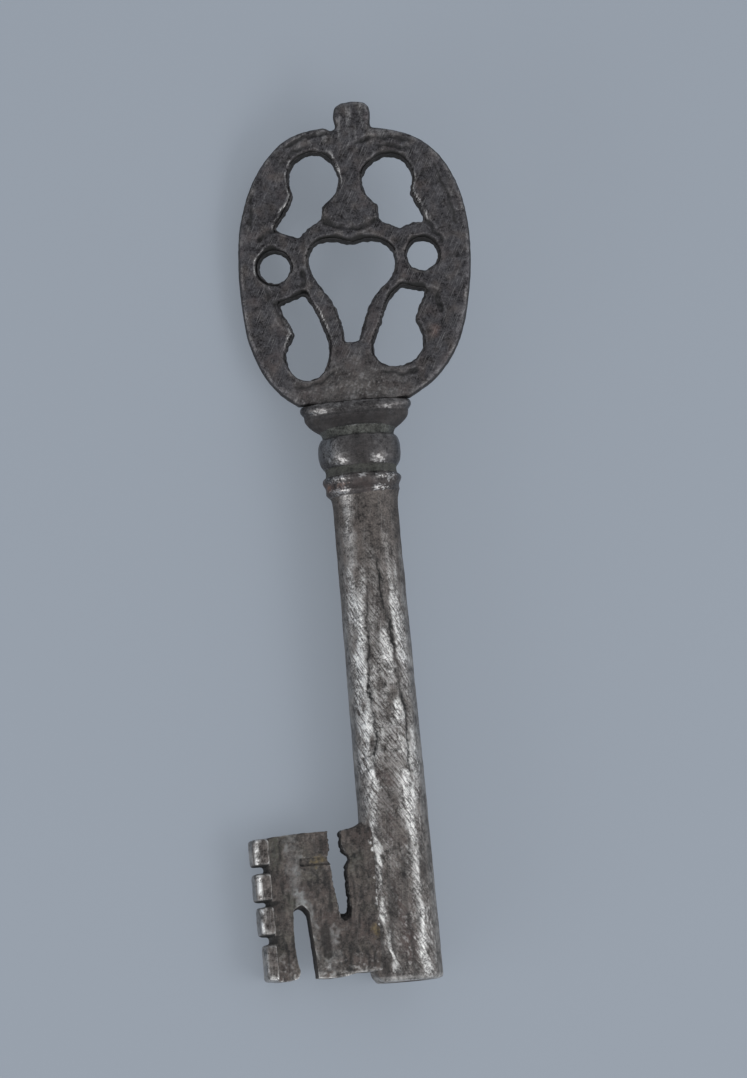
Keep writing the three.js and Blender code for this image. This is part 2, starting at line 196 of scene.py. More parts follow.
# %% Soft boxes
BOX_SIZE = (0.60, 0.24)
BOX_AIM = Vector((0, 75, 0))
SOFT_BOXES = {"left_soft_box": ((-518, -226, 380), 1.7), "right_soft_box": ((546, -205, 329), 1.5)}

for name, (stand, watts) in SOFT_BOXES.items():
    lamp = bpy.data.lights.new(name, "AREA")
    lamp.shape = "RECTANGLE"
    lamp.size, lamp.size_y = BOX_SIZE
    lamp.energy = watts
    box = bpy.data.objects.new(name, lamp)
    box.location = KEY @ (Vector(stand) * MM)
    aim = KEY @ (BOX_AIM * MM) - box.location
    box.rotation_mode = "QUATERNION"
    box.rotation_quaternion = aim.to_track_quat("-Z", "Y")
    scene.collection.objects.link(box)
    print(name, "stands", round(aim.length, 2), "m away")

# %% [markdown]
# Every piece is drawn in the key's own millimetres and then carried into the frame. A piece starts as a
# bmesh, gets its modifiers, and is worn by moving its points: forged iron is never quite flat or round.

# %% Helpers that make and smooth a piece
WELD = 0.001


def apply_modifier(piece, kind, **settings):
    modifier = piece.modifiers.new(kind.lower(), kind)
    for name, value in settings.items():
        setattr(modifier, name, value)
    graph = bpy.context.evaluated_depsgraph_get()
    mesh = bpy.data.meshes.new_from_object(piece.evaluated_get(graph))
    piece.modifiers.clear()
    piece.data = mesh


def copy_of(node):
    shape = bmesh.new()
    shape.from_mesh(nodes[node].data)
    bmesh.ops.remove_doubles(shape, verts=shape.verts, dist=WELD * MM)
    bmesh.ops.transform(shape, matrix=PLACE.inverted(), verts=shape.verts)
    return shape


def smooth(piece, rounds, wanted=lambda place: True):
    shape = bmesh.new()
    shape.from_mesh(piece.data)
    chosen = [v for v in shape.verts if wanted(v.co)]
    for _ in range(rounds):
        bmesh.ops.smooth_vert(shape, verts=chosen, factor=0.5, use_axis_x=True, use_axis_y=True,
                              use_axis_z=True)
    shape.to_mesh(piece.data)
    shape.free()


print("the packed bow has", len(nodes["bow"].data.vertices), "points")


# %% Seat a finished piece in the frame
def seat(piece, slot, material, *replaced):
    shape = bmesh.new()
    shape.from_mesh(piece.data)
    volume = shape.calc_volume(signed=True)
    shape.free()
    piece.data.transform(PLACE)
    piece.data.shade_smooth()
    piece.data.materials.clear()
    piece.data.materials.append(material)
    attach(piece, "root")
    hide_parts(*replaced)
    piece.data.calc_loop_triangles()
    print(piece.name, "has", len(piece.data.loop_triangles), "triangles and", round(volume), "mm3")


print("a drawn millimetre is", round(PLACE.to_scale()[0], 4), "m in the frame")

# %% [markdown]
# Wear follows the shape: edges are rubbed bright, hollows fill with dark dirt. So each point of a piece
# is asked how far it stands out from its neighbours, which way it faces and what is near it. Averaging
# the points with their neighbours gives a smoothed surface to measure against. Where places is split
# into x, y and z, a change to one of them changes places too.

# %% Helpers that read a piece's points
def points_of(piece):
    count = len(piece.data.vertices)
    places, normals = np.empty(count * 3), np.empty(count * 3)
    piece.data.vertices.foreach_get("co", places)
    piece.data.vertex_normals.foreach_get("vector", normals)
    return places.reshape(-1, 3), normals.reshape(-1, 3)


def move_points(piece, places):
    piece.data.vertices.foreach_set("co", places.ravel())
    piece.data.update()


def averaged(piece, values, rounds):
    ends = np.empty(len(piece.data.edges) * 2, int)
    piece.data.edges.foreach_get("vertices", ends)
    first, second = ends.reshape(-1, 2).T
    count = len(values)
    degree = np.bincount(ends, minlength=count)
    for _ in range(rounds):
        total = np.bincount(first, values[second], count) + np.bincount(second, values[first], count)
        values = (values + total / degree) / 2
    return values


def standing_out(piece, rounds):
    places, normals = points_of(piece)
    level = np.stack([averaged(piece, places[:, axis], rounds) for axis in range(3)], axis=1)
    return ((places - level) * normals).sum(axis=1)


packed_bow, _ = points_of(nodes["bow"])
print("the packed bow spans", np.ptp(packed_bow, axis=0).round(4), "m")

# %% [markdown]
# A mask is a number from 0 to 1 at each point. It comes from noise, from a slope between two limits, or
# from how near a point is to a line on the key. Masks are kept on the points as attributes, and the
# finishes read them. Another shift picks another part of the noise, so that two patterns don't agree,
# and an along below 1 draws the noise out up the shank.

# %% Helpers that make masks and keep them
def noise_at(places, size, shift=0.0, along=1.0):
    drawn_out = places * (1, along, 1)
    return np.array([noise.noise(Vector(p) / size + Vector((shift, shift, shift))) for p in drawn_out])


def ramp(values, low, high):
    return np.clip((values - low) / (high - low), 0, 1)


def strongest(*masks):
    return np.maximum.reduce(np.broadcast_arrays(*masks))


def nearness(places, line, width):
    nearest = np.full(len(places), np.inf)
    for start, end in zip(line, line[1:]):
        start, step = np.array(start, float), np.array(end, float) - np.array(start, float)
        away = places[:, :2] - start
        along = np.clip(away @ step / (step @ step), 0, 1)
        nearest = np.minimum(nearest, np.linalg.norm(away - along[:, None] * step, axis=1))
    return 1 - ramp(nearest, 0, width)


def near_any(places, lines, width):
    return strongest(*[nearness(places, line, width) for line in lines])


def mark(piece, **marks):
    for name, values in marks.items():
        layer = piece.data.attributes.new(name, "FLOAT", "POINT")
        spread = np.zeros(len(layer.data)) + values
        layer.data.foreach_set("value", np.clip(spread, 0, 1).astype(np.float32))


print("on a slope from 1 to 3, 1.5 is marked", ramp(1.5, 1, 3))

# %% [markdown]
# All of the key is wrought iron, and old iron is one metal in several states. A thin dark oxide skin that
# handling has made smooth gives it a deep grey sheen. Fine-grained brown rust makes it dull and warm.
# Bare metal shines wherever it rubs, and black dirt in the hollows draws every line. The bare layer is
# also painted where highlights fall, the black layer where shade falls, and the pale layer on the shank's
# flanks, where the tent is reflected. The finish starts from the skin and lays one state after another over
# it, each where its mask says. The patterns that break the states up have sizes of real iron.

# %% Real sizes of the patterns, in millimetres
MASKS = ("worn", "grime", "brown", "ruddy", "olive", "pale", "stain", "filed")
CLOUD = 2.6
GRAIN = 0.8
# The grain of rolled scale is nearer 0.1 mm. It is drawn three times as coarse, or it would not show.
SPECK = 0.3
# A scratch's length, width and depth. Real scratches are about 0.03 mm wide, too fine to show, so they
# are drawn as wide as one dot of the render.
SCRATCH = (4.0, 0.16, 2.0)
SCRATCH_DEPTH = 0.03
# A file stroke's size, likewise. Real strokes are about 0.15 mm wide, and are drawn twice as wide.
FILE_MARK = (2.4, 0.32, 1.0)
FILE_LEAN = 56
FILE_DEPTH = 0.04
SHANK_RADIUS = 5.9
print("patterns run from", SCRATCH[1], "to", SCRATCH[0], "mm")

# %% [markdown]
# An object's coordinates are in the frame's directions. A Mapping node turns them back into the key's
# millimetres, so that patterns can follow the key. File strokes wrap round the shank, so for them the
# surface is unrolled: the angle becomes a width.

# %% Patterns in the key's millimetres
# A Mix node's sockets by number: one set mixes colours and another mixes plain values.
MIX_A, MIX_B, MIX_OUT = 6, 7, 2
FLOAT_A, FLOAT_B = 2, 3


def key_space(tree):
    back = PLACE.inverted()
    turned_back = KEY.to_3x3().transposed().to_euler("XYZ")
    where = add(tree, "TexCoord", out="Object")
    return add(tree, "Mapping", {"Vector": where, "Location": back.translation, "Rotation": turned_back,
               "Scale": (1 / MM, 1 / MM, 1 / MM)})


def patchy(tree, where, size, low, high, lean=None):
    if lean is not None:
        where = add(tree, "Mapping", {"Vector": where, "Rotation": (0, 0, math.radians(lean)),
                    "Scale": size}, vector_type="TEXTURE")
        size = 1.0
    pattern = add(tree, "TexNoise", {"Vector": where, "Scale": 1 / size, "Detail": 6.0, "Roughness": 0.68})
    return add(tree, "MapRange", {"Value": pattern, "From Min": low, "From Max": high})


def unrolled(tree, where):
    parts = [add(tree, "SeparateXYZ", {"Vector": where}, axis) for axis in "XYZ"]
    angle = add(tree, "Math", {0: parts[0], 1: parts[2]}, operation="ARCTAN2")
    around = add(tree, "Math", {0: angle, 1: SHANK_RADIUS}, operation="MULTIPLY")
    return add(tree, "CombineXYZ", {"X": around, "Y": parts[1]})


def summed(tree, *weighted):
    total = 0.0
    for pattern, weight in weighted:
        total = add(tree, "Math", {0: pattern, 1: weight, 2: total}, operation="MULTIPLY_ADD")
    return total


print("unrolled, the shank is", round(math.tau * SHANK_RADIUS, 1), "mm wide")

# %% [markdown]
# Each state covers the one under it. Skin and bare metal are metallic and fairly smooth; rust, stains and
# dirt are rough and hardly metallic. Most are broken up by the same three sizes of mottling, so that
# their borders are ragged, and a bump from the same patterns makes light and shade agree.

# %% Cover one state with another
def cover(tree, under, share, most, colour, metallic, roughness):
    part = add(tree, "Math", {0: share, 1: most}, operation="MULTIPLY")
    return {
        "Base Color": add(tree, "Mix", {0: part, MIX_A: under["Base Color"], MIX_B: colour}, MIX_OUT,
                          data_type="RGBA"),
        "Metallic": add(tree, "Mix", {0: part, FLOAT_A: under["Metallic"], FLOAT_B: metallic}),
        "Roughness": add(tree, "Mix", {0: part, FLOAT_A: under["Roughness"], FLOAT_B: roughness}),
    }


BLACK_DIRT_AND_SHADE = "#131211"
print("black dirt reflects", round(linear(BLACK_DIRT_AND_SHADE)[0], 4), "of the light that falls on it")

# %% The finish of old wrought iron
PALE_BLOOM_AND_REFLECTION = "#A2A5A4"
RED_RUST_AND_SHADE = "#42312C"
OLIVE_CRUST = "#4C4D42"
BARE_ROUGHNESS = 0.28
CRUST_ROUGHNESS = 0.7


def old_iron(name, skin, rust, bare, stain, polish, relief, lean, scratched):
    material = bpy.data.materials.new(name)
    material.use_nodes = True
    tree = material.node_tree
    where = key_space(tree)
    state = {mask: add(tree, "Attribute", out="Fac", attribute_name=mask) for mask in MASKS}
    cloud = patchy(tree, where, CLOUD, 0.35, 0.65)
    grain = patchy(tree, where, GRAIN, 0.34, 0.66)
    speck = patchy(tree, where, SPECK, 0.36, 0.64)
    scratch = patchy(tree, where, SCRATCH, 0.56, 0.66, lean)
    stroke = patchy(tree, unrolled(tree, where), FILE_MARK, 0.43, 0.55, -FILE_LEAN)
    tone = summed(tree, (cloud, 0.3), (grain, 0.35), (speck, 0.35))
    tone = add(tree, "MapRange", {"Value": tone, "From Min": 0.2, "From Max": 0.8})
    rough_spots = add(tree, "MapRange", {"Value": tone, "From Min": 0.25, "From Max": 0.6, "To Min": 0.25})

    mottled_skin, mottled_rust = [
        add(tree, "Mix", {0: tone, MIX_A: linear(dark), MIX_B: linear(light)}, MIX_OUT, data_type="RGBA")
        for dark, light in (skin, rust)]
    sheen = add(tree, "MapRange", {"Value": tone, "To Min": polish + 0.12, "To Max": polish - 0.06})
    filed = add(tree, "Math", {0: state["filed"], 1: stroke}, operation="MULTIPLY")
    missed = add(tree, "Math", {0: state["filed"], 1: filed}, operation="SUBTRACT")
    struck = add(tree, "MapRange", {"Value": missed, "To Min": 1.0, "To Max": 0.1})
    rubbed = add(tree, "Math", {0: struck, 1: rough_spots}, operation="MULTIPLY")

    surface = {"Base Color": mottled_skin, "Metallic": 1.0, "Roughness": sheen}
    # Each row says where a state lies, how much it covers there, its colour, how metallic and how rough.
    for layer in [
        (scratch, scratched, linear(bare), 1.0, polish),
        (filed, rough_spots, linear(bare), 1.0, polish - 0.04),
        (state["brown"], 0.9, mottled_rust, 0.1, 0.62),
        (state["ruddy"], grain, linear(RED_RUST_AND_SHADE), 0.0, CRUST_ROUGHNESS),
        (state["olive"], grain, linear(OLIVE_CRUST), 0.0, CRUST_ROUGHNESS),
        # The pale layer is bloom on the bit and the bow's foot, and a painted reflection of the tent on the
        # shank's flanks.
        (state["pale"], cloud, linear(PALE_BLOOM_AND_REFLECTION), 0.2, 0.6),
        (state["stain"], grain, linear(stain), 0.0, CRUST_ROUGHNESS),
        # The bare layer is wear, and in places it is also painted highlights and a painted reflection.
        (state["worn"], rubbed, linear(bare), 1.0, BARE_ROUGHNESS),
        # The black layer is dirt in the hollows, and in places it is painted shade.
        (state["grime"], 1.0, linear(BLACK_DIRT_AND_SHADE), 0.0, 0.8),
    ]:
        surface = cover(tree, surface, *layer)
    shader = tree.nodes["Principled BSDF"]
    for socket, value in surface.items():
        tree.links.new(value, shader.inputs[socket])

    height = summed(tree, (cloud, relief * 2), (grain, relief), (speck, relief * 0.6), (filed, FILE_DEPTH),
                    (scratch, -SCRATCH_DEPTH * scratched))
    bump = add(tree, "Bump", {"Height": height, "Strength": 1.0, "Distance": MM})
    tree.links.new(bump, shader.inputs["Normal"])
    return material


print("states of the iron:", ", ".join(MASKS))

# %% [markdown]
# Four finishes differ in how dark, how rough and how scratched the iron is. The bow is almost black from
# hands, with a grain that catches the light in points. The turned parts are smooth enough to carry soft
# highlights. The shank and the bit are filed iron that wear has brightened, which makes them the lightest
# part. The brazing spelter between them stays a dull, greenish, sandy grey.

# %% Finishes
dark_iron = old_iron(
    "dark_handled_wrought_iron", skin=("#282627", "#656365"), rust=("#251F1C", "#5E544D"),
    bare="#AEACAA", stain="#6E4A36", polish=0.36, relief=0.035, lean=62, scratched=0.4)
turned_iron = old_iron(
    "smooth_turned_wrought_iron", skin=("#2A2828", "#676565"), rust=("#201B19", "#48413E"),
    bare="#C6C4C2", stain="#6B4A38", polish=0.27, relief=0.008, lean=5, scratched=0.12)
worn_iron = old_iron(
    "worn_filed_wrought_iron", skin=("#2B2725", "#827C78"), rust=("#1C1816", "#645A53"),
    bare="#F0EEEA", stain="#86744A", polish=0.33, relief=0.04, lean=84, scratched=0.25)
spelter = old_iron(
    "dull_brazing_spelter", skin=("#2C2C2A", "#6A6B66"), rust=("#262320", "#575450"),
    bare="#A6A6A2", stain="#6E4A36", polish=0.48, relief=0.06, lean=5, scratched=0.1)
print("finishes:", ", ".join(m.name for m in (dark_iron, turned_iron, worn_iron, spelter)))

# %% [markdown]
# The bow is a pierced oval plate, forged flat and filed by hand. Its openings, eyes and chased lines are
# already in the solid, so a copy of it is taken, without the tang, which the mouldings hide. The copy has
# long thin triangles, so a voxel remesh lays an even grid over it, which can be smoothed and hammered
# point by point. The foot is smoothed most.

# %% Shape of the bow
BOW_VOXEL = 0.23
TANG_CUT_Y = 97.2
FOOT_Y = 98.0
FOOT_EDGE_Y = 98.2
FOOT_REACH = 10.5
FOOT_ROUNDS = 60
FACE_Z = 1.5


def bow_shape():
    shape = copy_of("bow")
    everything = shape.verts[:] + shape.edges[:] + shape.faces[:]
    bmesh.ops.bisect_plane(shape, geom=everything, plane_co=(0, TANG_CUT_Y, 0), plane_no=(0, 1, 0),
                           clear_inner=True)
    bmesh.ops.holes_fill(shape, edges=[e for e in shape.edges if e.is_boundary])
    return shape


def on_foot(place):
    in_reach = math.hypot(place.x, place.y - FOOT_Y) < FOOT_REACH
    return in_reach and place.y > FOOT_EDGE_Y and abs(place.z) > FACE_Z


bow = object_of(bow_shape(), "forged_bow")
apply_modifier(bow, "REMESH", mode="VOXEL", voxel_size=BOW_VOXEL)
smooth(bow, 1)
smooth(bow, FOOT_ROUNDS, on_foot)
print("the bow has", len(bow.data.vertices), "points")

# %% [markdown]
# Chased lines, cut with a small chisel, follow the openings and the top of the oval. They are listed as
# points in the key's millimetres and pressed in later. A second list holds the edges of the openings
# that stayed sharp, which hands have rubbed bright.

# %% Chased lines and sharp edges of the bow
CHASED_LINES = [
    [(-0.6, 144.9), (-2.6, 144.6), (-5.4, 144.1), (-7.9, 142.9)],
    [(-4.6, 142.6), (-7.4, 141.6), (-9.4, 139.9)],
    [(2.6, 141.8), (4.6, 142.7), (6.8, 143.4), (9.4, 143.2), (13.0, 142.1)],
    [(7.4, 141.7), (10.2, 141.5), (12.5, 140.7)],
    [(-3.4, 130.1), (-1.7, 128.9), (0.6, 128.1), (2.9, 127.7), (5.0, 128.4), (6.9, 129.2)],
    [(14.0, 128.3), (15.7, 127.0), (17.0, 124.1)],
    [(-10.8, 128.7), (-12.6, 128.4), (-14.2, 127.0)],
    [(-14.8, 135.0), (-15.5, 129.8)],
    [(-13.3, 117.5), (-11.9, 114.4), (-10.6, 112.0)],
    [(-11.4, 115.4), (-12.6, 116.6), (-13.4, 118.7)],
    [(13.3, 116.1), (15.1, 115.5), (15.8, 112.0)],
    [(-7.2, 121.3), (-7.2, 117.4)],
    [(16.9, 137.5), (18.6, 132.5), (19.6, 127.0)],
    [(-10.0, 101.3), (-8.2, 101.1), (-5.3, 101.9), (-3.1, 103.6)],
    [(5.2, 102.9), (8.0, 102.0), (10.8, 102.4)],
]
SHARP_EDGES = [
    [(-0.3, 141.5), (0.5, 138.8), (1.3, 136.2)],
    [(-8.3, 140.0), (-7.7, 137.0), (-7.9, 134.4)],
    [(-8.2, 133.4), (-9.9, 131.2), (-11.8, 129.2)],
    [(-14.0, 125.5), (-15.0, 124.1), (-15.4, 122.0)],
    [(13.0, 136.0), (13.7, 132.4), (15.7, 127.9)],
    [(-4.6, 115.8), (-3.6, 111.4)],
    [(-10.3, 111.2), (-10.9, 110.2), (-11.5, 109.4)],
]
print("chased lines:", len(CHASED_LINES), "sharp edges:", len(SHARP_EDGES))

# %% [markdown]
# The openings were sawn and then filed, most of all at their upper edges, where the file broke the corner
# down into a slope, which is painted dark as shade. So each point of a face is asked how far it is from
# the nearest wall of an opening, and whether it lies above or below.

# %% File the edges of the openings
OVAL_MIDDLE = (1.9, 121.5)
OVAL_HALF = (19.9, 24.1)
RIM_FROM = 0.93
LEFT_EYE = (-11.8, 122.2)
EDGE_DEPTH = 0.8
FILED_WIDTH, WIDER_ABOVE, NARROWER_BELOW, WIDER_BY_EYE = 0.34, 0.5, 0.2, 0.7


def from_holes(places, chosen):
    tree = kdtree.KDTree(int(chosen.sum()))
    for index in np.flatnonzero(chosen):
        tree.insert((*places[index, :2], 0), int(index))
    tree.balance()
    found = [tree.find((x, y, 0)) for x, y, _ in places]
    away = np.array([distance for _, _, distance in found])
    rise = places[:, 1] - np.array([nearest.y for nearest, _, _ in found])
    return away, rise / np.maximum(away, 0.01)


places, normals = points_of(bow)
# level is 1 on a face of the plate and 0 on an upright wall.
level = np.abs(normals[:, 2])
wall = 1 - ramp(level, 0.35, 0.75)
face = ramp(level, 0.6, 0.85)
rim = np.hypot(*((places[:, :2] - OVAL_MIDDLE) / OVAL_HALF).T) > RIM_FROM
to_hole, above = from_holes(places, (level < 0.5) & ~rim)
to_eye = np.hypot(*(places[:, :2] - LEFT_EYE).T)
filed_in = FILED_WIDTH + WIDER_ABOVE * ramp(above, 0.2, 0.9) - NARROWER_BELOW * ramp(-above, 0.2, 0.9)
filed_in += WIDER_BY_EYE * (1 - ramp(to_eye, 2.5, 4.5)) * (places[:, 0] < LEFT_EYE[0] + 0.5)
filed_in = filed_in * (1 + 0.9 * noise_at(places, 2.2, 13.0))
broken_edge = (1 - ramp(to_hole / filed_in, 0, 1)) * face
places[:, 2] -= np.sign(normals[:, 2]) * broken_edge * EDGE_DEPTH
print("broken edges are up to", round(filed_in[broken_edge > 0].max(), 2), "mm wide")

# %% [markdown]
# The faces are uneven from the hammer: wide dents with smaller ones in them. The saw left the walls of
# the openings ragged, while the rim was filed smooth. Points are only pushed in along their normals, so
# that the bow stays within its solid.

# %% Hammer the faces and press in the chased lines
HAMMER_MARKS = [(4.5, 0.0, 0.26), (1.9, 7.0, 0.20), (0.7, 3.0, 0.06)]
RAGGED_RIM, RAGGED_WALL = 0.05, 0.26
HIGHEST = 0.14
CHASED_DEPTH = 0.36

astray = places + noise_at(places, 1.4, 17.0)[:, None] * (0.5, 0.5, 0)
near_line = near_any(astray, CHASED_LINES, 1.2) * (1 - wall)
chased = ramp(near_line, 0.25, 1.0) ** 1.5 * ramp(noise_at(places, 2.0, 19.0), -0.9, -0.1)
hammered = sum(noise_at(places, size, shift) * high for size, shift, high in HAMMER_MARKS)
ragged = wall * noise_at(places, 0.8, 5.0) * np.where(rim, RAGGED_RIM, RAGGED_WALL)
push = np.minimum(hammered * (1 - 0.8 * wall) + ragged, HIGHEST) - HIGHEST - CHASED_DEPTH * chased
move_points(bow, places + normals * push[:, None])
print("the bow is pushed in by up to", round(-push.min(), 2), "mm")

# %% [markdown]
# Hands have rubbed the bow for a very long time. The skin is bright on the rim's bevel and on a few sharp
# edges of the openings, black in every groove, and brown at the foot, where fingers do not reach. The
# walls of the openings and the rim are painted darker, and the walls that face down and the slopes filed
# into the tops of the openings are painted in shade. Bright lips beside the chased lines are painted
# highlights.

# %% Zones of the bow
PEG_FOOT_Y = 143.6

edge = standing_out(bow, 4)
patches = noise_at(places, 1.8, 11.0)
glints = ramp(noise_at(places, 0.45, 21.0), 0.15, 0.4)
bevel = ramp(level, 0.45, 0.6) * (1 - ramp(level, 0.88, 0.97)) * rim
crest = ramp(to_hole, filed_in - 0.1, filed_in + 0.05)
crest = crest * (1 - ramp(to_hole, filed_in + 0.12, filed_in + 0.32)) * face
sharp = near_any(places, SHARP_EDGES, 1.3)
x, y, _ = places.T
foot = 1 - ramp(np.hypot(x * 0.75, y - FOOT_Y) + patches * 3, 3.5, 9.5)
peg = ramp(y, PEG_FOOT_Y - 1.5, PEG_FOOT_Y + 0.5)
streaks = ramp(noise_at(places, 0.55, 2.0, along=0.15), 0.0, 0.3) * peg * (1 - wall)
# Painted highlights on the lips beside the chased lines.
painted_lip_highlight = ramp(near_line, 0.1, 0.25) * (1 - ramp(near_line, 0.25, 0.4))
# Walls that face down are painted in shade.
under = wall * ramp(-normals[:, 1], 0.0, 0.7)
print("points stand out by up to", round(edge.max(), 2), "mm")

# %% Wear on the bow
RIM_SHINE, BEVEL_SHINE, CREST_SHINE, LIP_HIGHLIGHT = 0.5, 0.3, 0.25, 0.35
SHARP_SHINE, PEG_SHINE = 0.95, 0.36
RIM_WALL_DARKNESS, WALL_DARKNESS, UNDER_SHADE = 0.68, 0.55, 0.4
STAINED = [(14.5, 108.6), (14.6, 109.2)]

rubbed = strongest(ramp(edge, 0.04, 0.1) * rim * RIM_SHINE, bevel * BEVEL_SHINE, crest * CREST_SHINE,
                   painted_lip_highlight * LIP_HIGHLIGHT) * ramp(patches, -0.1, 0.4)
rubbed_sharp = crest * ramp(sharp, 0.1, 0.5) * ramp(patches, -0.5, 0) * SHARP_SHINE
walls_painted_dark = wall * np.where(rim, RIM_WALL_DARKNESS, WALL_DARKNESS) + under * np.where(rim, 0, UNDER_SHADE)
mark(bow, worn=strongest(rubbed, rubbed_sharp, streaks * PEG_SHINE, glints * (0.02 + 0.35 * foot) * face),
     grime=strongest(ramp(-edge, 0.02, 0.08) * 0.85, ramp(chased, 0.3, 0.9) * 0.8,
                     # Painted shade on the filed slopes at the tops of the openings, and the walls painted
                     # dark.
                     ramp(broken_edge, 0.05, 0.35), walls_painted_dark),
     brown=np.clip(ramp(patches, 0.0, 0.5) * 0.5 + foot * 0.75, 0, 0.85),
     ruddy=ramp(noise_at(places, 3.0, 23.0), 0.1, 0.45) * 0.4 * face, pale=foot * 0.12 * face,
     stain=nearness(places, STAINED, 1.2) * 0.5)
seat(bow, "dark_iron", dark_iron, "bow")

# %% [markdown]
# Collar, knop, ring and the beads of spelter were turned or filed round. Each is a closed profile spun
# about an axis a little to the left of the shank's; a subdivision surface then rounds the steps as wear
# has done. A profile runs from the top down, as pairs of radius and height.

# %% Turned pieces
MOULDING_SHIFT = -0.2
BORE = 3.2
SIDES = 96
ROUNDING = 2
COLLAR_ROWS = [(9.0, 97.95), (9.4, 97.8), (9.6, 97.2), (9.5, 96.7), (9.15, 96.3), (8.95, 96.05),
               (9.0, 95.7), (8.85, 95.1), (8.25, 94.3), (7.4, 93.6), (6.6, 93.1), (6.4, 92.95)]
NECK_ROWS = [(6.7, 93.7), (6.65, 93.2), (6.35, 92.7), (6.2, 92.3), (6.25, 91.9), (6.3, 91.4)]
KNOP_ROWS = [(6.1, 92.0), (6.5, 91.85), (6.85, 91.3), (7.05, 90.5), (7.1, 89.4), (7.05, 88.4),
             (6.85, 87.5), (6.55, 87.0), (6.4, 86.75), (6.2, 86.5)]
KNOP_BRAZE_ROWS = [(6.35, 87.2), (6.35, 86.75), (6.15, 86.3), (6.1, 85.9), (6.2, 85.5), (6.2, 84.9)]
RING_ROWS = [(6.0, 85.5), (6.4, 85.3), (6.75, 84.9), (6.8, 84.4), (6.55, 83.95), (6.3, 83.5), (6.3, 83.1),
             (6.42, 82.75), (6.36, 82.4), (6.1, 82.1), (5.9, 81.9), (5.75, 81.6)]


def turned(name, rows):
    shape = bmesh.new()
    low, high = rows[-1][1], rows[0][1]
    ring = [shape.verts.new((r + MOULDING_SHIFT, y, 0)) for r, y in rows + [(BORE, low), (BORE, high)]]
    edges = [shape.edges.new(pair) for pair in zip(ring, ring[1:] + ring[:1])]
    bmesh.ops.spin(shape, geom=ring + edges, cent=(MOULDING_SHIFT, 0, 0), axis=(0, 1, 0),
                   angle=math.tau, steps=SIDES, use_merge=True)
    bmesh.ops.remove_doubles(shape, verts=shape.verts, dist=WELD)
    bmesh.ops.recalc_face_normals(shape, faces=shape.faces)
    piece = object_of(shape, name)
    apply_modifier(piece, "SUBSURF", levels=ROUNDING, render_levels=ROUNDING)
    return piece


print("turned pieces have", SIDES, "sides before they are smoothed")

# %% [markdown]
# Turned iron wears in flecks: the metal shines through in small torn patches on the fullest part of each
# moulding, drawn out along the turning, while the grooves beside it hold dirt and rust.

# %% Wear on turned pieces
FLECK_SIZE = 0.28
AROUND = (0.45, 1, 1)


def flecks(piece, spots, raggedness):
    places, _ = points_of(piece)
    torn = noise_at(places * AROUND, FLECK_SIZE, 2.0) * raggedness
    near = [np.hypot(places[:, 0] - x, (places[:, 1] - y) * 1.6) / radius for x, y, radius in spots]
    return (1 - ramp(np.min(near, axis=0) + torn, 0.3, 0.9)) * (places[:, 2] > 0)


def weathered(piece, dent, **marks):
    places, normals = points_of(piece)
    move = noise_at(places, 2.5) * dent + noise_at(places, 0.8, 4.0) * dent * 0.5 - dent
    move_points(piece, places + normals * move[:, None])
    edge = standing_out(piece, 8)
    patches = noise_at(places, 1.5, 9.0)
    rubbed = ramp(edge, 0.012, 0.05) * ramp(patches, -0.2, 0.4) * 0.4
    marks["worn"] = strongest(rubbed, marks.get("worn", 0))
    marks["grime"] = strongest(ramp(-edge, 0.01, 0.045), marks.get("grime", 0))
    marks["brown"] = marks.get("brown", 0) * ramp(patches, -0.6, 0.2)
    mark(piece, **marks)
    return piece


print("flecks are torn at", FLECK_SIZE, "mm")

# %% [markdown]
# The collar is round at its foot, like the bead of spelter there, and only half as deep as wide under the
# flat bow. So it is spun round and then pressed flat, by a share that depends on the height.

# %% Collar
COLLAR_HEIGHTS = [93.0, 93.1, 93.6, 94.3, 95.1, 95.6, 96.1, 96.5, 97.1, 97.9]
COLLAR_DEPTHS = [1, 0.953, 0.812, 0.681, 0.581, 0.537, 0.525, 0.535, 0.532, 0.516]
COLLAR_LINE_Y = 95.8
# Flecks of bare metal where the highlights fall on the upper band: wear and painted highlights.
COLLAR_WEAR_AND_HIGHLIGHTS = [(-6.9, 96.5, 1.2), (-5.6, 96.4, 0.9), (-3.3, 97.1, 0.8), (-0.6, 96.9, 0.6),
                 (3.6, 96.4, 0.5), (5.3, 96.4, 0.8)]

collar = turned("moulded_collar", COLLAR_ROWS)
places, _ = points_of(collar)
x, y, z = places.T
outside = np.hypot(x - MOULDING_SHIFT, z) > BORE + 0.6
z *= np.where(outside, np.interp(y, COLLAR_HEIGHTS, COLLAR_DEPTHS), 1)
move_points(collar, places)
# The collar's lower part faces down and is painted in shade, with dirt, red rust and brown.
painted_shade_below = 1 - ramp(y, 94.8, 96.2)
line = 1 - ramp(np.abs(y - COLLAR_LINE_Y), 0.05, 0.3)
weathered(collar, 0.06, worn=flecks(collar, COLLAR_WEAR_AND_HIGHLIGHTS, 0.9) * 0.32, ruddy=painted_shade_below * 0.4,
          grime=strongest(0.62 * painted_shade_below, 0.6 * line), brown=0.3 + 0.5 * painted_shade_below)
seat(collar, "dark_iron", turned_iron, "bow_collar")

# %% [markdown]
# The knop is rubbed bright low down at left and right, where the bright flecks are also painted
# highlights. A soft grey sheen up its left side is a painted reflection, and its dark centre is painted
# shade, laid on as dirt and red rust. The ring below it has two ridges with rust between them. The beads
# of spelter above and below the knop are dull and sandy, and the lower one is crusted olive.

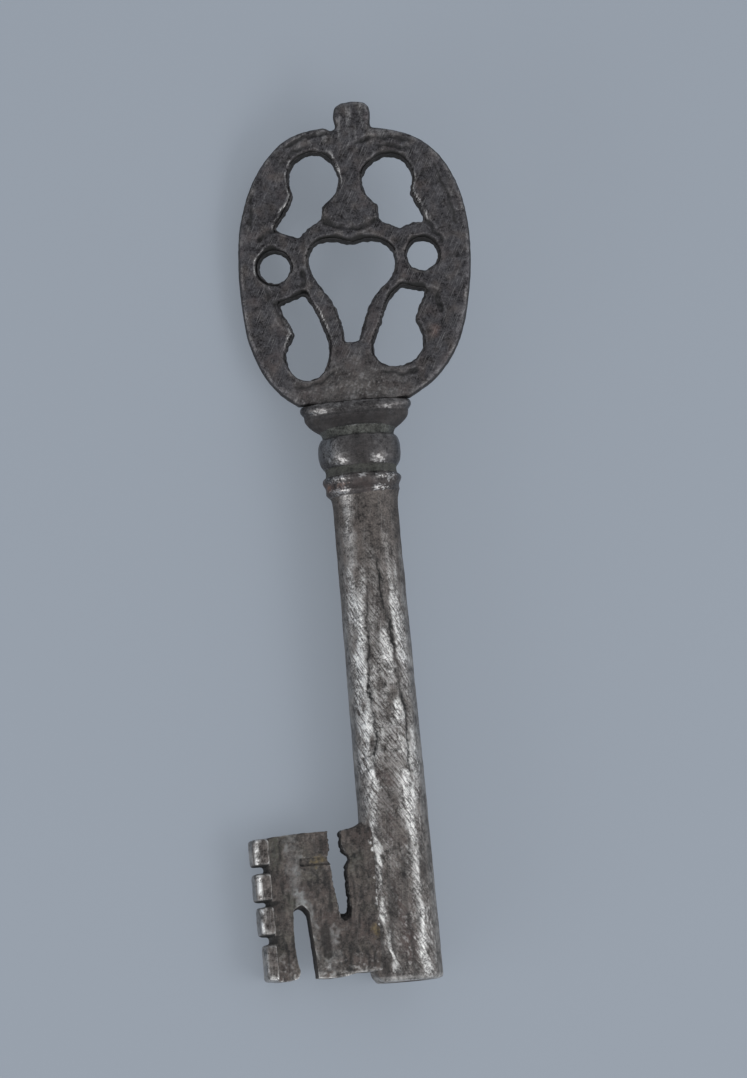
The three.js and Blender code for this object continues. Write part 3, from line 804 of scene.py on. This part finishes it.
# %% Upper bead of spelter and knop
KNOP_WEAR_AND_HIGHLIGHTS = [(-4.3, 87.5, 1.0), (-3.3, 87.5, 0.9), (-5.3, 87.9, 0.8),
               (2.3, 87.1, 0.7), (3.4, 87.1, 0.8), (2.8, 87.7, 0.9)]
KNOP_REFLECTION = [(-5.4, 91.0), (-5.0, 88.8)]
KNOP_SHADE = [(-0.4, 91.6), (0.4, 87.0)]

neck_bead = turned("neck_bead", NECK_ROWS)
weathered(neck_bead, 0.12, brown=0.2)
seat(neck_bead, "spelter", spelter, "neck_braze")
knop = turned("worn_knop", KNOP_ROWS)
places, _ = points_of(knop)
# Painted reflection up the knop's left side.
sheen = nearness(places, KNOP_REFLECTION, 2.2) * (places[:, 2] > 0)
# Painted shade in the knop's centre, laid on as dirt and red rust.
shade = nearness(places, KNOP_SHADE, 2.8) * (places[:, 2] > 0)
weathered(knop, 0.06, worn=strongest(flecks(knop, KNOP_WEAR_AND_HIGHLIGHTS, 1.5) * 0.5, sheen * 0.3),
          grime=shade * 0.5, ruddy=shade * 0.4, brown=0.45 - 0.4 * sheen)
seat(knop, "brown_iron", turned_iron, "knop")

# %% Lower bead of spelter and ring
RING_FLECKS = [(-4.8, 84.5, 1.1), (-3.4, 84.6, 1.1), (-0.1, 84.8, 0.9), (2.8, 84.4, 0.8),
               (4.4, 84.3, 1.0), (-4.6, 82.6, 1.0), (-3.1, 82.5, 1.0), (2.4, 82.6, 0.8), (3.4, 82.4, 0.9)]
RING_RUST = [(-5.6, 83.4, 1.5), (-4.1, 83.2, 1.4)]
RING_RED = [(-0.9, 83.6), (1.2, 82.8)]

knop_bead = turned("knop_bead", KNOP_BRAZE_ROWS)
weathered(knop_bead, 0.1, brown=0.8, olive=0.5, grime=0.25)
seat(knop_bead, "spelter", spelter, "knop_braze")
worn_ring = turned("worn_ring", RING_ROWS)
places, _ = points_of(worn_ring)
red = nearness(places, RING_RED, 2.2) * (places[:, 2] > 0)
weathered(worn_ring, 0.09, worn=flecks(worn_ring, RING_FLECKS, 1.6) * 0.7, brown=0.8,
          ruddy=0.15 + 0.55 * red, stain=flecks(worn_ring, RING_RUST, 1.6) * 0.7)
seat(worn_ring, "bright_iron", turned_iron, "shank_ring")

# %% [markdown]
# The shank is a pipe, rolled from plate and welded along its length, then filed. It is one profile spun
# with closely spaced rings, so that the seams and dents can be pressed into it afterwards. The root of
# the bit is filed off at a slant where it meets the mouth of the pipe, so the pipe's foot is cut too:
# points past the slant are moved back onto it.

# %% Shape of the shank
PIPE_ROWS = [(0, 82.75), (6.0, 82.75), (5.95, 82.2), (5.7, 81.1), (5.6, 79.6), (5.7, 64), (5.85, 47),
             (6.0, 30), (6.1, 13.4), (6.2, 0.1), (5.97, -0.47), (5.4, -0.7), (3.7, -0.7), (3.4, -0.4),
             (3.4, 58), (0, 58)]
OUTSIDE = slice(1, 10)
RING_STEP = 0.32
PIPE_SIDES = 208
TURN = math.radians(12)
CORNER = (-5.45, 0.27)
CORNER_OUT = (-0.759, -0.651)


def pipe_shape():
    shape = bmesh.new()
    ring = [shape.verts.new((r, y, 0)) for r, y in PIPE_ROWS]
    edges = [shape.edges.new(pair) for pair in zip(ring, ring[1:])]
    for edge in edges[OUTSIDE][:-1]:
        cuts = int(edge.calc_length() / RING_STEP)
        if cuts:
            bmesh.ops.subdivide_edges(shape, edges=[edge], cuts=cuts)
    bmesh.ops.spin(shape, geom=shape.verts[:] + shape.edges[:], cent=(0, 0, 0), axis=(0, 1, 0),
                   angle=math.tau, steps=PIPE_SIDES, use_merge=True)
    bmesh.ops.remove_doubles(shape, verts=shape.verts, dist=WELD)
    bmesh.ops.recalc_face_normals(shape, faces=shape.faces)
    return shape


def turned_with_bit(x, z):
    return x * math.cos(TURN) - z * math.sin(TURN), x * math.sin(TURN) + z * math.cos(TURN)


def handled(places):
    return noise_at(places, 4.0) * 0.06 + noise_at(places, 1.5, 2.0) * 0.04 - 0.09


pipe = object_of(pipe_shape(), "filed_shank")
places, _ = points_of(pipe)
x, y, z = places.T
across, _ = turned_with_bit(x, z)
beyond = np.maximum((across - CORNER[0]) * CORNER_OUT[0] + (y - CORNER[1]) * CORNER_OUT[1], 0)
x -= beyond * CORNER_OUT[0] * math.cos(TURN)
z += beyond * CORNER_OUT[0] * math.sin(TURN)
y -= beyond * CORNER_OUT[1]
move_points(pipe, places)
print("the slant takes off up to", round(beyond.max(), 2), "mm")

# %% [markdown]
# Two seams run down the front, where the rolled plate was welded, and thin flakes have lifted at their
# lower ends. A seam wanders, so noise moves the points sideways before they are measured against its line.

# %% Seams and flakes of the shank
LEFT_SEAM = [(-1.0, 66), (-1.6, 60.2), (-1.7, 55.1), (-2.3, 48.4), (-1.9, 44.1),
             (-1.8, 39.9), (-2.8, 35.8)]
RIGHT_SEAM = [(1.3, 70.5), (1.3, 63.4), (2.1, 59.9), (2.6, 54.8), (3.0, 51.4), (3.3, 47.1),
              (3.6, 42.9), (3.6, 37.8), (3.5, 34.5)]
FLAKES = [[(-2.9, 34.6), (-2.4, 32.0)], [(2.9, 34.0), (2.6, 29.6)]]
SEAM_DEPTH = 0.22
FLAKE_HEIGHT = 0.07

places, normals = points_of(pipe)
x, height, z = places.T
front = ramp(z, 0.5, 2.0)
outer = np.hypot(x, z) > 5
uneven = noise_at(places, 1.1, 8.0, along=0.5)
jagged = uneven * 0.5 + noise_at(places, 0.5, 28.0) * 0.35
astray = places + jagged[:, None] * (1, 0, 0)
seams = strongest(nearness(astray, LEFT_SEAM, 0.32) * 0.8, nearness(astray, RIGHT_SEAM, 0.3)) * front
seams = seams * ramp(noise_at(places, 1.8, 3.0, along=0.4), -0.7, 0.1)
beside = near_any(astray, (LEFT_SEAM, RIGHT_SEAM), 1.2) * front
flakes = near_any(astray, FLAKES, 1.0) * front
push = handled(places) + uneven * 0.02 - SEAM_DEPTH * seams + FLAKE_HEIGHT * ramp(flakes, 0.1, 0.4)
move_points(pipe, places + normals * (push * outer)[:, None])
print("seams and flakes move points by", round(np.ptp(push), 2), "mm")

# %% [markdown]
# Pockets have worn bright stripes beside the seams, and the stripes are also painted highlights where the
# soft boxes are reflected. Slanting file strokes cross the stripes and fade out towards the ring, where the
# iron is smooth and brown, and towards the tip, where it is mottled with rust and streaked with dirt. The
# bore is dark, and the ring of its mouth is rubbed.

# %% Bright stripes of the shank
# Stripes of bare metal where the soft boxes' highlights run: wear and painted highlights.
WEAR_AND_HIGHLIGHT_STRIPES = [
    (1.5, [(-3.2, 69), (-3.0, 62), (-2.9, 57), (-3.1, 52), (-2.8, 47), (-2.8, 43), (-2.7, 39), (-3.4, 36)]),
    (0.7, [(-3.3, 31), (-3.7, 26.5), (-3.2, 20), (-3.5, 13), (-3.2, 10.6), (-2.6, 8), (-2.0, 1.3)]),
    (1.1, [(2.7, 67.5), (3.2, 63), (3.5, 57.5), (4.0, 53.5)]),
    (1.1, [(1.2, 57.5), (1.8, 52.2), (2.3, 47), (2.8, 43.5)]),
    (1.2, [(4.1, 41), (3.8, 36), (3.0, 30), (2.9, 24), (3.2, 16), (3.3, 6), (3.5, 0.5)]),
    (0.4, [(-3.4, 77.2), (-3.4, 76.3)]),
]


def wear_and_highlight_at(places, wider=1.0):
    return strongest(*[nearness(places, line, width * wider) for width, line in WEAR_AND_HIGHLIGHT_STRIPES])


print("bright stripes:", len(WEAR_AND_HIGHLIGHT_STRIPES))

# %% Zones of the shank
UPPER_FROM, UPPER_TO = 61, 75
LOWER_FROM, LOWER_TO = 22, 34
FLANK_FROM, FLANK_TO = 0.85, 1.1
BORE_WALL, BORE_TOP = 3.6, 60

patches = noise_at(places, 1.6, 6.0, along=0.4)
streaks = noise_at(places, 0.9, 14.0, along=0.12)
blotches = noise_at(places, 2.6, 1.0, along=0.7)
flecked = ramp(noise_at(places, 0.38, 16.0, along=0.6), 0.1, 0.4) * ramp(patches, -0.4, 0.2)
upper = ramp(height + patches * 5 + streaks * 9, UPPER_FROM, UPPER_TO)
lower = 1 - ramp(height + patches * 8, LOWER_FROM, LOWER_TO)
# The flanks are painted pale lower down, as a reflection of the tent, and are darker near the ring.
side = ramp(np.abs(np.arctan2(x, z)), FLANK_FROM, FLANK_TO)
behind = ramp(-z, -1, 2)
by_web = ramp(-x, 3.6, 4.4) * (1 - ramp(height + patches * 3, 24, 29)) * (z > 0)
bore = (np.hypot(x, z) < BORE_WALL) & (height < BORE_TOP)
mouth = ramp(-height, -0.4, 0.1) * outer
print("the bore's wall has", bore.sum(), "points")

# %% Wear on the shank
# A soft highlight painted up the left of the shank's top.
UPPER_HIGHLIGHT = [(-3.1, 83), (-3.3, 70)]
RED_PATCHES = [[(-0.8, 26.0), (0.8, 23.0)], [(0.2, 15.5), (0.9, 4.0)], [(-1.0, 33.0), (-0.6, 30.0)]]

sheen = nearness(astray, UPPER_HIGHLIGHT, 1.3) * front * (height > 66)
stripes = wear_and_highlight_at(astray, 1.8) * front
narrow = ramp(wear_and_highlight_at(astray), 0.25, 0.7) * front * ramp(patches, -0.6, -0.05)
narrow = narrow * (1 - ramp(height + streaks * 6, 64, 71) * (height < 74))
narrow = narrow * (1 - 0.55 * lower * ramp(x, 0, 1) * ramp(height, 3, 6) * ramp(-streaks, -0.3, 0.2))
filed = (0.5 + 0.5 * ramp(stripes, 0, 0.6)) * ramp(patches, -0.7, -0.1)
filed = filed * (1 - upper) * (1 - 0.4 * lower) * (1 - 0.75 * side) * (1 - 0.7 * beside)
brown = strongest(upper * 0.7 * (1 - sheen), lower * 0.74, ramp(blotches, -0.1, 0.35) * 0.6, by_web * 0.9,
                  beside * 0.5, behind * ramp(blotches, -0.4, 0.3) * 0.7)
red = ramp(near_any(astray, RED_PATCHES, 2.2) * front, 0, 0.6)
red = strongest(red, ramp(-blotches, 0.15, 0.5) * 0.4) * ramp(patches, -0.4, 0.1)
low_flecks = flecked * lower * ramp(x, -3.6, -1.0) * front * 0.32
stripe_flecks = flecked * ramp(stripes, 0, 0.4) * (1 - upper) * 0.6
low_streaks = ramp(-streaks, -0.05, 0.35) * lower * (1 - narrow) * 0.5
mark(pipe, worn=strongest(narrow, ramp(flakes, 0.3, 0.5), mouth * 0.5, sheen * 0.3, low_flecks,
                          stripe_flecks),
     grime=strongest(ramp(seams, 0.15, 0.6), bore * 0.9, ramp(beside, 0.3, 0.9) * 0.35,
                     side * upper * 0.45, low_streaks),
     filed=filed, brown=np.clip(brown - narrow * 0.6, 0, 1), ruddy=red * (1 - narrow),
     # Painted reflection of the tent on the flanks.
     pale=side * (1 - behind) * (1 - upper) * 0.35)
seat(pipe, "bright_iron", worn_iron, "shank_pipe")

# %% [markdown]
# The bit is a flat plate with its wards sawn and filed through, and four stout teeth on the outer edge.
# It runs into the pipe in a smooth brazed fillet on either side. A fillet is a wedge whose outer face
# comes down to the pipe in a curve and sinks away above the plate: one section, extruded up the shank
# and fitted to the pipe at each step. The remesh joins fillets and plate into one skin, so that no line
# shows between them.

# %% Brazed fillets of the bit
FILLET_FROM, FILLET_TO, FILLET_FADE = 1.3, 27.0, 19.5
FILLET_FADE_CURVE = 1.3
FILLET_START, FILLET_END = math.radians(12), math.radians(40)
FILLET_REACH = 2.9
FILLET_CURVE = 2.2
FILLET_STEPS = 20
FILLET_HEART = 3.9
OFF_PIPE = 0.03


def pipe_radius(height):
    rows = [(y, r) for r, y in PIPE_ROWS[OUTSIDE]][::-1]
    return np.interp(height, *zip(*rows))


def fillet_point(angle, height):
    fade = (1 - max(0, (height - FILLET_FADE) / (FILLET_TO - FILLET_FADE))) ** FILLET_FADE_CURVE
    part = (FILLET_END - angle) / (FILLET_END - FILLET_START)
    reach = pipe_radius(height) + OFF_PIPE + FILLET_REACH * fade * max(part, 0) ** FILLET_CURVE
    return Vector((-reach * math.cos(angle), height, reach * math.sin(angle)))


def fillet_shape(side):
    shape = bmesh.new()
    angles = np.linspace(FILLET_START, FILLET_END, FILLET_STEPS)
    section = [shape.verts.new(fillet_point(angle, FILLET_FROM)) for angle in angles]
    heart = [shape.verts.new((-FILLET_HEART * math.cos(angle), FILLET_FROM, FILLET_HEART * math.sin(angle)))
             for angle in (FILLET_END, FILLET_START)]
    face = shape.faces.new(section + heart)
    for height in np.linspace(FILLET_FROM, FILLET_TO, FILLET_STEPS)[1:]:
        grown = bmesh.ops.extrude_face_region(shape, geom=[face])["geom"]
        face = next(part for part in grown if isinstance(part, bmesh.types.BMFace))
        for vert in face.verts:
            on_skin = math.hypot(vert.co.x, vert.co.z) > FILLET_HEART + 0.5
            angle = math.atan2(vert.co.z, -vert.co.x)
            vert.co = fillet_point(angle, height) if on_skin else Vector((vert.co.x, height, vert.co.z))
    bmesh.ops.scale(shape, vec=(1, 1, side), verts=shape.verts)
    bmesh.ops.rotate(shape, verts=shape.verts, cent=(0, 0, 0), matrix=Matrix.Rotation(TURN, 3, "Y"))
    bmesh.ops.recalc_face_normals(shape, faces=shape.faces)
    return shape


print("a fillet reaches", round(pipe_radius(FILLET_FROM) + FILLET_REACH, 1), "mm from the axis")

# %% Shape of the bit
BIT_VOXEL = 0.17


def bit_shape():
    shape = copy_of("bit")
    for side in (1, -1):
        wedge = bpy.data.meshes.new("fillet")
        fillet_shape(side).to_mesh(wedge)
        shape.from_mesh(wedge)
        bpy.data.meshes.remove(wedge)
    return shape


bit = object_of(bit_shape(), "warded_bit")
apply_modifier(bit, "REMESH", mode="VOXEL", voxel_size=BIT_VOXEL)
smooth(bit, 2)
print("the bit has", len(bit.data.vertices), "points")

# %% [markdown]
# The lock has worn the teeth: their outer corners are rounded off to a slope that catches the light along
# its arris. The top of the root is sunk into the pipe, so that the fillets end without a step.

# %% Worn teeth and smooth root
TEETH_FROM = -22.1
TOOTH_SLOPE_FROM, TOOTH_END = 23.9, 26.4
TOOTH_TAPER = 0.34
TOOTH_ROUNDS, TOOTH_SMOOTH_TO = 6, -21.8
ROOT_ROUNDS, ROOT_SMOOTH_FROM, ROOT_SMOOTH_TO = 16, -9.8, -4
ROOT_TOP, ROOT_FROM = 26.9, -8
UNDER_SKIN = 5.6

places, _ = points_of(bit)
x, y, z = places.T
across, out = turned_with_bit(x, z)
drawn_in = -out * TOOTH_TAPER * ramp(-across, TOOTH_SLOPE_FROM, TOOTH_END)
x += drawn_in * math.sin(TURN)
z += drawn_in * math.cos(TURN)
from_axis = np.hypot(x, z)
sunk = ramp(y, ROOT_TOP - 1.2, ROOT_TOP) * (across > ROOT_FROM) * np.maximum(from_axis - UNDER_SKIN, 0)
x -= x / from_axis * sunk
z -= z / from_axis * sunk
move_points(bit, places)
smooth(bit, TOOTH_ROUNDS, lambda p: turned_with_bit(p.x, p.z)[0] < TOOTH_SMOOTH_TO)
smooth(bit, ROOT_ROUNDS, lambda p: ROOT_SMOOTH_FROM < turned_with_bit(p.x, p.z)[0] < ROOT_SMOOTH_TO)
print("teeth are drawn in by up to", round(np.abs(drawn_in).max(), 2), "mm")

# %% [markdown]
# Plate and teeth are dented a little, and the upper slot, beside the root, keeps the ragged walls that
# the saw left. As on the bow, points are only pushed in.

# %% Rough slots and plate
PLATE_FROM = -9.5
SLOT_FROM, SLOT_TO, SLOT_FOOT = -8.2, -12.6, 10
RAGGED_SLOT = 0.35
PLATE_DENTS = 0.05

places, normals = points_of(bit)
x, height, z = places.T
across, _ = turned_with_bit(x, z)
wall = 1 - ramp(np.abs(normals[:, 2]), 0.3, 0.7)
teeth = across < TEETH_FROM
plate = across < PLATE_FROM
slot = wall * (across > SLOT_TO) * (across < SLOT_FROM) * (height > SLOT_FOOT)
dents = handled(places) + noise_at(places, 0.9, 5.0) * PLATE_DENTS * plate
ragged = slot * noise_at(places, 0.6, 1.0) * RAGGED_SLOT
push = np.minimum(dents + ragged, 0)
move_points(bit, places + normals * push[:, None])
print("the bit is pushed in by up to", round(-push.min(), 2), "mm")

# %% [markdown]
# The flat of the bit never rubs, so it is the brownest part of the key, mottled dark and streaked by the
# file. Pale bloom, olive crust and a dark lens of scale lie on it, and a little yellow brazing residue
# fills the short channel. Only the edges, the foot and the teeth are bright. The undersides of the teeth
# are painted in shade, and the walls of the slots and the gaps between the teeth are darker.

# %% Patches and stains of the bit
TOOTH_GAPS = [(7.4, 8.6), (13.7, 14.4), (19.3, 20.3)]
PALE_PATCHES = [(0.5, [(-17.6, 25.4), (-17.2, 21.5), (-17.5, 17.0)]),
                (1.0, [(-16.8, 15.2), (-15.6, 10.0), (-14.9, 2.0)]), (0.9, [(-12.0, 8.4), (-11.9, 2.8)])]
OLIVE_PATCHES = [[(-20.4, 25.5), (-20.0, 21.0)], [(-8.0, 20.8), (-6.4, 20.6)],
                 [(-17.3, 11.0), (-18.6, 14.8)]]
DARK_LENS = [(-13.1, 8.9), (-12.9, 4.9)]
RESIDUE = [(-14.1, 20.5), (-12.6, 20.7)]
ORANGE_SPOT = [(-4.5, 8.8), (-4.3, 7.8)]
PIT_BY_SLOT = [(-9.0, 20.9), (-6.8, 20.9)]

wander = places + noise_at(places, 0.7, 26.0)[:, None] * (1.2, 1.2, 0)
patches = noise_at(places, 1.8, 3.0)
is_front = z > 0
flat = (1 - wall) * ~teeth
pale = strongest(*[nearness(wander, line, 1.5) * most for most, line in PALE_PATCHES]) * is_front * flat
olive = near_any(wander, OLIVE_PATCHES, 1.6) * is_front
lens = ramp(nearness(places, DARK_LENS, 1.0), 0.0, 0.35) * is_front * flat
hole = nearness(wander, PIT_BY_SLOT, 0.7) * is_front * flat
residue = strongest(nearness(wander, RESIDUE, 0.8), nearness(wander, ORANGE_SPOT, 0.9) * 0.9)
near_gap = strongest(*[ramp(height, low - 0.5, low) * (1 - ramp(height, high, high + 0.15))
                       for low, high in TOOTH_GAPS])
in_gap = near_gap * (1 - ramp(across + patches, TEETH_FROM, TEETH_FROM + 0.8))
print("pale bloom lies on", (pale > 0.5).sum(), "points")

# %% Wear on the bit
edge = standing_out(bit, 5)
blotches = noise_at(places, 3.2, 5.0)
streaks = noise_at(places, 0.6, 12.0, along=0.3)
glints = ramp(noise_at(places, 0.5, 15.0), 0.1, 0.4)
# The undersides of the teeth are painted in shade.
under = ramp(-normals[:, 1], 0.25, 0.7) * teeth * (height > 3)
# The shank's stripes of wear and painted highlight run on over the root.
shine = ramp(wear_and_highlight_at(wander), 0.25, 0.7) * is_front
sides = wall * (~teeth) * ramp(np.abs(normals[:, 0]), 0.2, 0.7)
# A bright band along each tooth's arris: wear and painted highlight.
arris = (1 - ramp(np.abs(across + TOOTH_SLOPE_FROM + 0.5), 0.1, 0.55)) * is_front * (1 - wall)
rubbed = ramp(edge, 0.02, 0.06) * ramp(patches, -0.3, 0.2) * 0.75
rubbed_foot = ramp(edge, 0.0, 0.03) * (1 - ramp(height, 1.5, 3.0)) * 0.8
rubbed_teeth = teeth * strongest(ramp(edge, 0.015, 0.05), wall * 0.3, arris * ramp(patches, -0.6, 0))
plate_glints = glints * flat * (0.05 + 0.3 * ramp(-height, -6, -1))
dark_streaks = ramp(streaks, -0.1, 0.5) * flat * (1 - ramp(pale, 0, 0.4)) * 0.68
mark(bit, worn=strongest(rubbed, shine, rubbed_teeth, plate_glints, rubbed_foot),
     grime=strongest(ramp(-edge, 0.012, 0.05), in_gap * 0.9, under, slot * 0.85, hole, lens * 0.7,
                     sides * 0.7, dark_streaks),
     brown=np.where(teeth, ramp(patches, -0.2, 0.4) * 0.6, 0.98 - 0.2 * ramp(blotches, 0.1, 0.4)),
     ruddy=ramp(blotches, 0.0, 0.4) * flat * 0.6,
     olive=strongest(olive, ramp(-blotches, 0.1, 0.5) * 0.5) * flat,
     pale=ramp(pale, 0, 0.6) * (1 - lens) * (0.3 + 0.7 * ramp(patches, -0.3, 0.2)) * 0.75,
     stain=residue * is_front)
seat(bit, "brown_iron", worn_iron, "bit", "bit_braze_front", "bit_braze_back")
